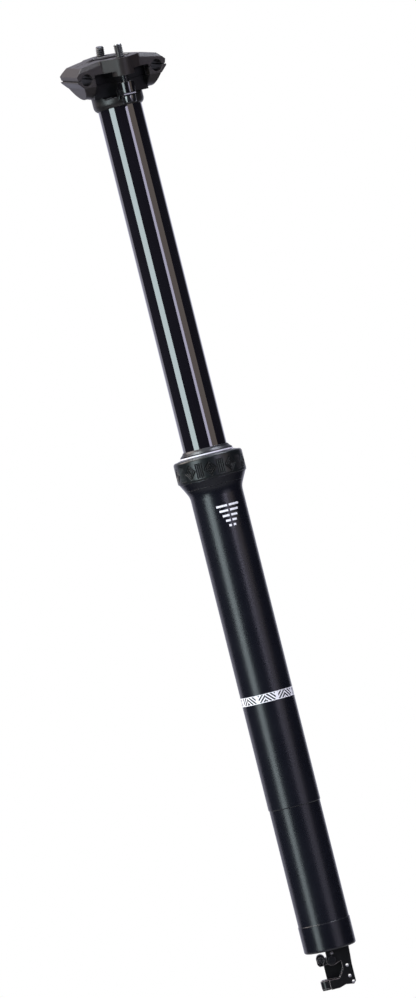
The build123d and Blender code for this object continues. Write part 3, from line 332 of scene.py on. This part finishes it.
# inside the cartridge
rodLook = {
    "name": "platedRod", "dark": (0.58, 0.59, 0.6), "light": (0.68, 0.69, 0.7),
    "cloud": 90.0, "grain": 1200.0, "stretch": (1.0, 1.0, 0.05), "smooth": 0.07, "rough": 0.14,
    "bump": 0.05, "depth": 0.00001, "metal": 1.0,
}
cartridgeLook = {
    "name": "plainAluminium", "dark": (0.52, 0.53, 0.54), "light": (0.66, 0.67, 0.68),
    "cloud": 140.0, "grain": 2600.0, "lines": 22000.0, "smooth": 0.28, "rough": 0.4,
    "bump": 0.15, "depth": 0.00002, "metal": 1.0, "edge": 0.0003, "wearAndHighlight": 0.5,
    "bareAndHighlight": (0.75, 0.75, 0.76),
}
keyLook = {
    "name": "plainBrass", "dark": (0.46, 0.33, 0.13), "light": (0.62, 0.47, 0.22),
    "cloud": 180.0, "grain": 2600.0, "smooth": 0.28, "rough": 0.42, "bump": 0.2,
    "depth": 0.00002, "metal": 1.0, "edge": 0.0002, "wearAndHighlight": 0.6, "bareAndHighlight": (0.78, 0.62, 0.34),
}
bushingLook = {
    "name": "bushingPlastic", "dark": (0.13, 0.13, 0.135), "light": (0.2, 0.2, 0.205),
    "cloud": 200.0, "grain": 3600.0, "smooth": 0.42, "rough": 0.56, "bump": 0.25,
    "depth": 0.00003, "edge": 0.0002, "wearAndHighlight": 0.4, "bareAndHighlight": (0.3, 0.3, 0.3),
}
foamLook = {
    "name": "oiledFoam", "dark": (0.14, 0.13, 0.1), "light": (0.27, 0.25, 0.21),
    "cloud": 900.0, "grain": 2400.0, "smooth": 0.7, "rough": 0.9, "bump": 0.9,
    "depth": 0.0002, "shine": 0.2,
}
dress(makeFinish(rodLook), "damper_rod", "valve_pin")
dress(makeFinish(cartridgeLook), "cylinder_tube", "rod_gland", "top_plug", "damper_piston",
      "floating_piston")
dress(makeFinish(keyLook), "guide_keys")
dress(makeFinish(bushingLook), "upper_bushing", "lower_bushing", "piston_ring", "floating_ring")
dress(makeFinish(foamLook), "foam_ring")
print("finishes set on the frame's nodes")


# Joins rows of points, each a closed loop with the same count, into one skin. It is capped at
# both ends, unless ringed, when the last row is joined to the first.
def skinRows(name, rows, ringed=False):
    points = [point for row in rows for point in row]
    count = len(rows[0])
    faces = []
    for row in range(len(rows) if ringed else len(rows) - 1):
        here = row * count
        above = (row + 1) % len(rows) * count
        for column in range(count):
            after = (column + 1) % count
            faces.append((here + column, here + after, above + after, above + column))
    if not ringed:
        faces.append(tuple(reversed(range(count))))
        faces.append(tuple(range((len(rows) - 1) * count, len(rows) * count)))
    mesh = bpy.data.meshes.new(name)
    mesh.from_pydata(points, [], faces)
    mesh.validate()
    mesh.polygons.foreach_set("use_smooth", [True] * len(mesh.polygons))
    mesh.update()
    piece = bpy.data.objects.new(name, mesh)
    bpy.context.scene.collection.objects.link(piece)
    return piece


# clamp bolts: rolled thread, fluted head, hex socket. Each row of the head has its height from
# the washer face, its radius and its kind, from the socket's floor round to the thread.
boltShape = {
    "frontLength": 0.03, "rearLength": 0.032,  # the photograph shows the front one lower
    "radius": 0.0025, "pitch": 0.00115, "threadDepth": 0.0005, "grooveHalf": 0.36,
    "plainNeck": 0.0012, "tipEdge": 0.0005, "flutes": 30, "fluteDepth": 0.00016,
    "columns": 60, "rowsPerPitch": 10, "sharpAngle": 38,
    "head": [
        (-0.0025, 0.002, "hex"), (-0.005, 0.002, "hex"), (-0.005, 0.0027, "round"),
        (-0.005, 0.00361, "round"), (-0.00484, 0.00393, "round"), (-0.00452, 0.00409, "round"),
        (-0.00428, 0.00425, "fluted"), (-0.00088, 0.00425, "fluted"),
        (-0.00056, 0.00409, "round"), (-0.0002, 0.00395, "round"), (0.0, 0.00375, "round"),
        (0.0, 0.0023, "round"),
    ],
}


def headReach(kind, radius, angle):
    if kind == "hex":  # the radius is measured to the flat sides
        return radius / cos((angle % (pi / 3)) - pi / 6)
    if kind == "fluted":
        return radius - boltShape["fluteDepth"] * (0.5 - 0.5 * cos(angle * boltShape["flutes"]))
    return radius


def threadReach(angle, height, length):
    turn = (height / boltShape["pitch"] - angle / (2 * pi)) % 1.0
    groove = max(0.0, 1.0 - abs(turn - 0.5) / boltShape["grooveHalf"])
    fade = min(1.0, max(0.0, (height - boltShape["plainNeck"]) / boltShape["pitch"]))
    tip = max(0.0, height - length + boltShape["tipEdge"])
    return boltShape["radius"] - max(fade * boltShape["threadDepth"] * groove, tip)


def boltRows(length):
    shape = boltShape
    angles = [2 * pi * step / shape["columns"] for step in range(shape["columns"])]
    rows = [[(headReach(kind, radius, angle), angle, height) for angle in angles]
            for height, radius, kind in shape["head"]]
    for step in range(1, int(length / shape["pitch"] * shape["rowsPerPitch"])):
        height = step * shape["pitch"] / shape["rowsPerPitch"]
        rows.append([(threadReach(angle, height, length), angle, height) for angle in angles])
    rows.append([(shape["radius"] - shape["tipEdge"], angle, length) for angle in angles])
    return rows


def makeBolt(side):
    foot = Vector(joints[side + "_bolt_swing"]["pos_m"])
    nut = Vector(joints[side + "_nut_turn"]["pos_m"])
    up = (nut - foot).normalized()
    across = Vector((1.0, 0.0, 0.0))
    ahead = up.cross(across)
    rows = [[foot + across * (reach * cos(angle)) + ahead * (reach * sin(angle)) + up * height
             for reach, angle, height in row] for row in boltRows(boltShape[side + "Length"])]
    bolt = skinRows(side + "Bolt", rows)
    bolt.data.set_sharp_from_angle(angle=radians(boltShape["sharpAngle"]))
    bolt.data.materials.append(oxide)
    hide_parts(side + "_bolt")
    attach(bolt, side + "_bolt_body")


makeBolt("front")
makeBolt("rear")
print("bolts threaded")

# grip sleeve: a rubber band with a sunk pattern of nested lozenges between upright lines.
# Each pair of the foot is how far in from the outside and how far up from the bottom it is.
sleeveShape = {
    "inner": 18.42, "outer": 20.8, "bottom": 10.52, "shoulder": 22.2, "top": 24.1,
    "foot": [(0.98, 0.0), (0.35, 0.245), (0.084, 0.7)], "footTop": 1.19,
    "shoulderRows": 8, "shoulderBend": 0.85, "columns": 960, "rows": 72,
    "depth": 0.6, "motifs": 10, "loopWide": 4.3, "loopTall": 4.9, "loops": 3.0, "loopShare": 0.5,
    "linePitch": 1.25, "lineShare": 0.5, "lineTall": 4.3, "lineReach": 2.5, "softness": 0.12,
}
gripLook = {
    "name": "gripRubber", "dark": (0.0042, 0.006, 0.0066), "light": (0.0082, 0.0108, 0.012),
    "cloud": 180.0, "grain": 5600.0, "smooth": 0.26, "rough": 0.36, "bump": 0.2,
    # the darker colour for the floor of the sunk pattern is painted shade
    "depth": 0.00002, "shine": 0.42, "inkAndShade": (0.0008, 0.0011, 0.0014), "inkAndShadeRough": 0.3,
    "shadeAbove": 1.3, "shadeBelow": 0.2,
}


def grooveAt(value, share):  # 1 in the middle of each repeat, with soft edges
    offset = abs(value % 1.0 - 0.5)
    return min(1.0, max(0.0, (share / 2 - offset) / sleeveShape["softness"] + 0.5))


def reliefDepth(arc, height):
    shape = sleeveShape
    motif = 2 * pi * shape["outer"] / shape["motifs"]
    along = (arc % motif) - motif / 2
    ring = abs(along) / shape["loopWide"] + abs(height) / shape["loopTall"]
    if ring < 1.0:
        return grooveAt(ring * shape["loops"], shape["loopShare"])
    outward = motif / 2 - abs(along)
    if outward > shape["lineReach"] or abs(height) > shape["lineTall"]:
        return 0.0
    return grooveAt(outward / shape["linePitch"], shape["lineShare"])


def sleeveProfile(shape):
    profile = [(shape["inner"], shape["bottom"])]
    profile += [(shape["outer"] - inward, shape["bottom"] + rise) for inward, rise in shape["foot"]]
    low = shape["bottom"] + shape["footTop"]
    for step in range(shape["rows"]):
        rise = (shape["shoulder"] - low) * step / (shape["rows"] - 1)
        profile.append((shape["outer"], low + rise))
    for step in range(1, shape["shoulderRows"] + 1):
        bend = pi / 2 * step / shape["shoulderRows"]
        inward = cos(bend) ** shape["shoulderBend"]
        rise = sin(bend) ** shape["shoulderBend"]
        profile.append((shape["inner"] + (shape["outer"] - shape["inner"]) * inward,
                        shape["shoulder"] + (shape["top"] - shape["shoulder"]) * rise))
    return profile


def makeSleeve():
    shape = sleeveShape
    middle = (shape["bottom"] + shape["shoulder"]) / 2
    rows = []
    for reach, height in sleeveProfile(shape):
        row = []
        for step in range(shape["columns"]):
            angle = 2 * pi * step / shape["columns"]
            here = reach
            if reach == shape["outer"]:
                here -= shape["depth"] * reliefDepth(angle * shape["outer"], height - middle)
            row.append((here * sin(angle) / perMetre, -here * cos(angle) / perMetre,
                        height / perMetre))
        rows.append(row)
    return skinRows("gripSleeve", rows, ringed=True)


def sunkPattern(place):  # painted shade in the floor of the pattern
    x, y, z = axesOf(place)
    height = z * perMetre
    sunk = (x * x + y * y) < ((sleeveShape["outer"] - sleeveShape["depth"] / 2) / perMetre) ** 2
    above = height > sleeveShape["bottom"] + gripLook["shadeAbove"]
    return sunk * above * (height < sleeveShape["shoulder"] - gripLook["shadeBelow"])


gripSleeve = makeSleeve()
gripSleeve.data.materials.append(makeFinish(gripLook, sunkPattern))
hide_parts("grip_sleeve")
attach(gripSleeve, "outer_body")
print("grip sleeve moulded")

# slabs set in the clamp, coloured near black as painted shade: the cradle's wall behind the front
# bolt, and four strips that fill the jaw seam with shade. Heights are from the seam, and the slabs
# lean with the clamp.
slabPlace = {
    "origin": (0.0, -4.237, 257.029), "pitch": 10.0, "steps": 5, "shares": (0.0, 0.3, 0.7, 1.0),
    "sharpAngle": 40,
}
wallShape = {"front": -7.4, "back": -5.4, "bottom": -5.3, "top": 1.3, "round": 0.45}
shadeStripShape = {"front": -15.4, "back": 15.4, "bottom": -0.62, "top": 0.62, "round": 0.15}
slabs = {
    "cradleWall": {**wallShape, "left": -16.8, "right": 16.8},
    "leftOuterShadeStrip": {**shadeStripShape, "left": -26.9, "right": -26.1},
    "leftInnerShadeStrip": {**shadeStripShape, "left": -17.8, "right": -17.2},
    "rightInnerShadeStrip": {**shadeStripShape, "left": 17.2, "right": 17.8},
    "rightOuterShadeStrip": {**shadeStripShape, "left": 26.1, "right": 26.9},
}
# near black, painted as shade on the wall and the seam strips
wallLook = {
    "name": "shadedForging", "dark": (0.002, 0.002, 0.003), "light": (0.0045, 0.0045, 0.006),
    "cloud": 240.0, "grain": 4200.0, "smooth": 0.55, "rough": 0.7, "bump": 0.4,
    "depth": 0.00003, "shine": 0.3,
}


def makeSlab(name, shape):
    lean = radians(slabPlace["pitch"])
    ahead = Vector((0.0, cos(lean), sin(lean)))
    up = Vector((0.0, -sin(lean), cos(lean)))
    corners = [("back", "top", -1, -1, 0.0), ("front", "top", 1, -1, 90.0),
               ("front", "bottom", 1, 1, 180.0), ("back", "bottom", -1, 1, 270.0)]
    section = []
    for side, end, inward, downward, start in corners:
        for step in range(slabPlace["steps"]):
            bend = radians(start + 90.0 * step / (slabPlace["steps"] - 1))
            section.append((shape[side] + shape["round"] * (inward + cos(bend)),
                            shape[end] + shape["round"] * (downward + sin(bend))))
    rows = []
    for share in slabPlace["shares"]:
        across = Vector((shape["left"] + (shape["right"] - shape["left"]) * share, 0.0, 0.0))
        rows.append([(Vector(slabPlace["origin"]) + across + ahead * along + up * height) / perMetre
                     for along, height in section])
    slab = skinRows(name, rows)
    slab.data.set_sharp_from_angle(angle=radians(slabPlace["sharpAngle"]))
    return slab


shaded = makeFinish(wallLook)
for name, shape in slabs.items():
    slab = makeSlab(name, shape)
    slab.data.materials.append(shaded)
    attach(slab, "saddle_clamp_body")
print("cradle wall and jaw liners set in")

# camera at the photograph's angle, tipped so that the head leans to the left
cameraSet = {
    "azimuth": 18.0, "distance": 3.0, "roll": 14.06, "lens": 439.2, "sensor": 36.0,
    "clipEnd": 50.0, "aimHeight": -0.0009, "aimAside": -0.00565,
}
turn = radians(cameraSet["azimuth"])
tip = radians(cameraSet["roll"])
toCamera = Vector((-sin(turn), -cos(turn), 0.0))
sideways = Vector((cos(turn), -sin(turn), 0.0))
upright = Vector((0.0, 0.0, 1.0))
cameraData = bpy.data.cameras.new("camera")
cameraData.sensor_fit = "HORIZONTAL"
cameraData.sensor_width = cameraSet["sensor"]
cameraData.lens = cameraSet["lens"]
cameraData.clip_end = cameraSet["clipEnd"]
camera = bpy.data.objects.new("camera", cameraData)
bpy.context.scene.collection.objects.link(camera)
imageRight = sideways * cos(tip) - upright * sin(tip)
imageUp = sideways * sin(tip) + upright * cos(tip)
aim = upright * cameraSet["aimHeight"] + sideways * cameraSet["aimAside"]
spot = aim + toCamera * cameraSet["distance"]
camera.matrix_world = Matrix((
    (imageRight.x, imageUp.x, toCamera.x, spot.x),
    (imageRight.y, imageUp.y, toCamera.y, spot.y),
    (imageRight.z, imageUp.z, toCamera.z, spot.z),
    (0.0, 0.0, 0.0, 1.0),
))
bpy.context.scene.camera = camera

# lamps: upright panels that draw the lines on the tubes, and more round and over the clamp.
# The bearing is from the camera, to its right, in degrees.
lampSet = {
    "mintPanel": {"bearing": -45.0, "away": 2.0, "wide": 1.02, "low": -0.02, "high": 0.62,
                  "glow": 7.8, "colour": (0.82, 0.97, 1.0)},
    "thinPanel": {"bearing": 33.5, "away": 2.0, "wide": 0.44, "low": -0.02, "high": 0.62,
                  "glow": 6.6, "colour": (0.8, 0.77, 1.0)},
    "warmPanel": {"bearing": 56.0, "away": 2.1, "wide": 1.2, "low": -0.02, "high": 0.62,
                  "glow": 1.15, "colour": (1.0, 0.84, 0.74)},
    "coolPanel": {"bearing": -44.0, "away": 2.0, "wide": 0.72, "low": -0.72, "high": -0.05,
                  "glow": 5.5, "colour": (0.84, 0.97, 1.0)},
    "plumPanel": {"bearing": 46.0, "away": 2.0, "wide": 1.0, "low": -0.72, "high": -0.05,
                  "glow": 1.1, "colour": (0.84, 0.8, 1.0)},
    "edgePanel": {"bearing": -133.0, "away": 2.0, "wide": 0.62, "low": -0.72, "high": 0.72,
                  "glow": 0.95, "colour": (0.86, 0.84, 1.0)},
    "upperLeft": {"bearing": -44.0, "away": 1.3, "wide": 0.7, "low": 1.0, "high": 1.7,
                  "glow": 9.0, "colour": (1.0, 0.9, 0.84)},
    "sideLeft": {"bearing": -104.0, "away": 1.5, "wide": 1.1, "low": 0.75, "high": 1.8,
                 "glow": 8.0, "colour": (1.0, 0.88, 0.82)},
    "overhead": {"bearing": 113.0, "away": 0.62, "wide": 0.5, "low": 1.25, "high": 1.7,
                 "glow": 24.0, "colour": (0.84, 0.88, 1.0)},
    "overheadLeft": {"bearing": -111.0, "away": 0.57, "wide": 0.4, "low": 1.3, "high": 1.65,
                     "glow": 34.0, "colour": (0.92, 0.98, 1.0)},
    "frontHigh": {"bearing": 4.0, "away": 1.0, "wide": 0.9, "low": 1.4, "high": 2.1,
                  "glow": 5.0, "colour": (0.82, 0.88, 1.0)},
    "upperRight": {"bearing": 48.0, "away": 1.5, "wide": 0.34, "low": 0.9, "high": 1.7,
                   "glow": 6.0, "colour": (0.86, 0.9, 1.0)},
}
tiltedFrom = 0.5  # panels that start above this height are tilted towards the post's middle
for name, lamp in lampSet.items():
    bearing = radians(lamp["bearing"])
    tall = lamp["high"] - lamp["low"]
    data = bpy.data.lights.new(name, "AREA")
    data.shape = "RECTANGLE"
    data.size = lamp["wide"]
    data.size_y = tall
    data.energy = lamp["glow"] * pi * lamp["wide"] * tall
    data.color = lamp["colour"]
    panel = bpy.data.objects.new(name, data)
    bpy.context.scene.collection.objects.link(panel)
    outward = toCamera * cos(bearing) + sideways * sin(bearing)
    panel.location = outward * lamp["away"] + upright * (lamp["low"] + lamp["high"]) / 2
    target = Vector((0.0, 0.0, 0.0 if lamp["low"] > tiltedFrom else panel.location.z))
    panel.rotation_euler = (panel.location - target).to_track_quat("Z", "Y").to_euler()
    panel.visible_camera = False

# white background that lights the object only as a pale room would
roomSet = {
    "ambient": 0.24, "dim": 0.03, "backdrop": 0.74, "fade": 0.16,
    "seenTint": (1.0, 1.0, 1.0), "mirrorTint": (0.82, 0.82, 1.0),
}
world = bpy.data.worlds.new("paleRoom")
bpy.context.scene.world = world
world.use_nodes = True
world.node_tree.nodes.clear()
room = Flow(world.node_tree)
seen = room.node("ShaderNodeLightPath", out="Is Camera Ray")
glossy = room.node("ShaderNodeLightPath", out="Is Glossy Ray")
through = room.node("ShaderNodeLightPath", out="Is Transmission Ray")
gaze = room.node("ShaderNodeTexCoord", out="Generated")
facing = dotOf(gaze, tuple(toCamera * -1.0))
sheet = ((facing - roomSet["backdrop"]) / roomSet["fade"]).held()  # white, behind the post
mirrored = (glossy + through).held() * (sheet * (1.0 - roomSet["dim"]) + roomSet["dim"])
direct = (seen + glossy + through).held()
level = (seen + mirrored).held() + (1.0 - direct) * roomSet["ambient"]
tint = blendColours(seen, opaque(roomSet["mirrorTint"]), opaque(roomSet["seenTint"]))
glow = room.node("ShaderNodeBackground", values={"Color": tint, "Strength": level})
room.node("ShaderNodeOutputWorld", values={"Surface": glow})

# pale floor a hand's breadth under the post, fading out into the white
floorSet = {
    "height": -0.42, "radius": 0.62, "fadeFrom": 0.2, "steps": 96, "seen": 0.76,
    "mirrored": 0.04, "paint": (0.34, 0.34, 0.34), "glow": (1.0, 1.0, 1.0),
}
angles = [2 * pi * step / floorSet["steps"] for step in range(floorSet["steps"])]
rim = [(floorSet["radius"] * cos(angle), floorSet["radius"] * sin(angle), floorSet["height"])
       for angle in angles]
floorMesh = bpy.data.meshes.new("floor")
floorMesh.from_pydata(rim, [], [tuple(range(len(rim)))])
floor = bpy.data.objects.new("floor", floorMesh)
bpy.context.scene.collection.objects.link(floor)
floorPaint = bpy.data.materials.new("paleFloor")
floorPaint.use_nodes = True
floorPaint.node_tree.nodes.clear()
spread = Flow(floorPaint.node_tree)
across, along = axesOf(spread.node("ShaderNodeTexCoord", out="Object"))[:2]
distance = spread.math("SQRT", across * across + along * along)
fade = floorSet["radius"] - floorSet["fadeFrom"]
gone = ((distance - floorSet["fadeFrom"]) / fade).held()
looked = spread.node("ShaderNodeLightPath", out="Is Camera Ray")
mirroredIn = spread.node("ShaderNodeLightPath", out="Is Glossy Ray")
bright = looked * floorSet["seen"] + mirroredIn * floorSet["mirrored"]
matte = spread.node("ShaderNodeBsdfDiffuse", values={"Color": opaque(floorSet["paint"])})
shine = spread.node("ShaderNodeEmission",
                    values={"Color": opaque(floorSet["glow"]), "Strength": bright})
lit = spread.node("ShaderNodeAddShader", values={0: matte, 1: shine})
clear = spread.node("ShaderNodeBsdfTransparent")
mixed = spread.node("ShaderNodeMixShader", values={0: gone, 1: lit, 2: clear})
spread.node("ShaderNodeOutputMaterial", values={"Surface": mixed})
floorMesh.materials.append(floorPaint)

scene = bpy.context.scene
scene.view_settings.view_transform = "Standard"
print("camera, lamps and room ready")
